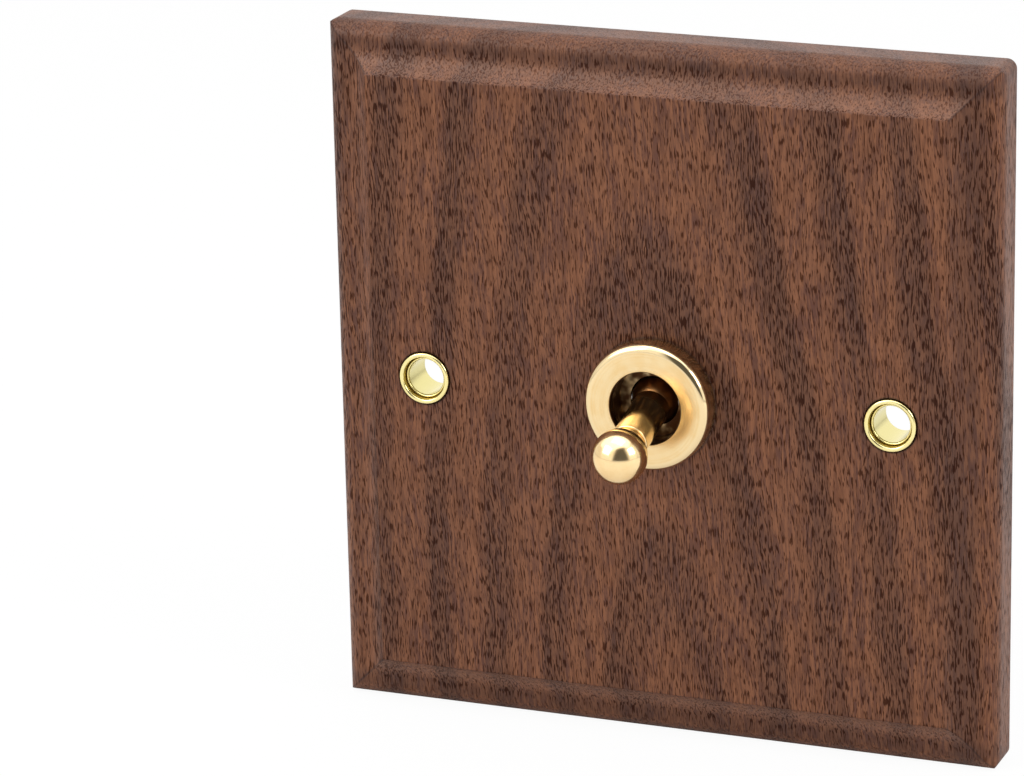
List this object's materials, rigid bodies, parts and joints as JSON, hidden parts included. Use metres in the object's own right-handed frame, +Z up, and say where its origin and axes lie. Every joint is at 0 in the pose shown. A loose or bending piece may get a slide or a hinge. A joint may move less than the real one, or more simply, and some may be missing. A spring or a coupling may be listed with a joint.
{
  "type": "toggle light switch",
  "caption": "Square walnut wall plate with a moulded edge, a ball-ended brass toggle in a round collar, brass-lined fixing holes and a moulded changeover switch housing behind.",
  "frame": {"origin": "on the wall plane, which is the back of the wooden plate, midway between the two fixing holes", "axes": "-Y is the front, towards the room; +Z is up; +X is to the right as seen from the front"},
  "size_m": [0.086, 0.0498, 0.088],
  "materials": {
    "walnut": "satin oiled walnut, open pores, moulded edge",
    "satin_brass": "finely brushed, clear lacquer",
    "polished_brass": "polished",
    "cup_brass": "bright turned",
    "contact_brass": "plain stamped",
    "zinc_plated_steel": "zinc plated",
    "spring_steel": "bright drawn wire",
    "silver": "contact silver",
    "moulded_housing": "fine moulded texture",
    "moulded_lid": "fine moulded texture",
    "nylon": "natural nylon"
  },
  "bodies": {
    "plate": {"wooden_plate": "walnut", "screw_cup_left": "cup_brass", "screw_cup_right": "cup_brass", "collar": "satin_brass", "bush": "polished_brass", "pivot_pin": "zinc_plated_steel", "support_strap": "zinc_plated_steel", "strap_screws": "zinc_plated_steel", "lock_washer": "zinc_plated_steel", "housing_lid": "moulded_lid", "housing_body": "moulded_housing", "lid_screws": "zinc_plated_steel", "rocker_pin": "zinc_plated_steel", "common_bracket": "contact_brass", "fixed_contact_upper": "silver", "fixed_contact_lower": "silver", "contact_strip_upper": "contact_brass", "contact_strip_lower": "contact_brass", "terminal_upper": "contact_brass", "terminal_common": "contact_brass", "terminal_lower": "contact_brass", "terminal_screws": "zinc_plated_steel", "earth_terminal": "contact_brass", "earth_screw": "zinc_plated_steel"},
    "toggle": {"toggle": "polished_brass", "plunger_spring": "spring_steel"},
    "plunger": {"plunger": "nylon"},
    "rocker": {"rocker_contact": "contact_brass", "moving_contact_upper": "silver", "moving_contact_lower": "silver"}
  },
  "joints": [
    {"name": "toggle_tilt", "type": "hinge", "parent": "plate", "child": "toggle", "pos_m": [0, -0.0068, 0], "axis": [-1, 0, 0], "range_deg": [0, 28]},
    {"name": "rocker_tilt", "type": "hinge", "parent": "plate", "child": "rocker", "pos_m": [0, 0.0116, 0], "axis": [1, 0, 0], "range_deg": [0, 18]},
    {"name": "plunger_slide", "type": "slide", "parent": "toggle", "child": "plunger", "axis": [0, -0.9703, -0.2419], "range_m": [0, 0.001], "stiffness_N_per_m": 300, "springref_m": -0.003, "deforming": ["plunger_spring"]}
  ],
  "couplings": [
    {"joint": "rocker_tilt", "follows": "toggle_tilt", "ratio": 0.64286}
  ]
}
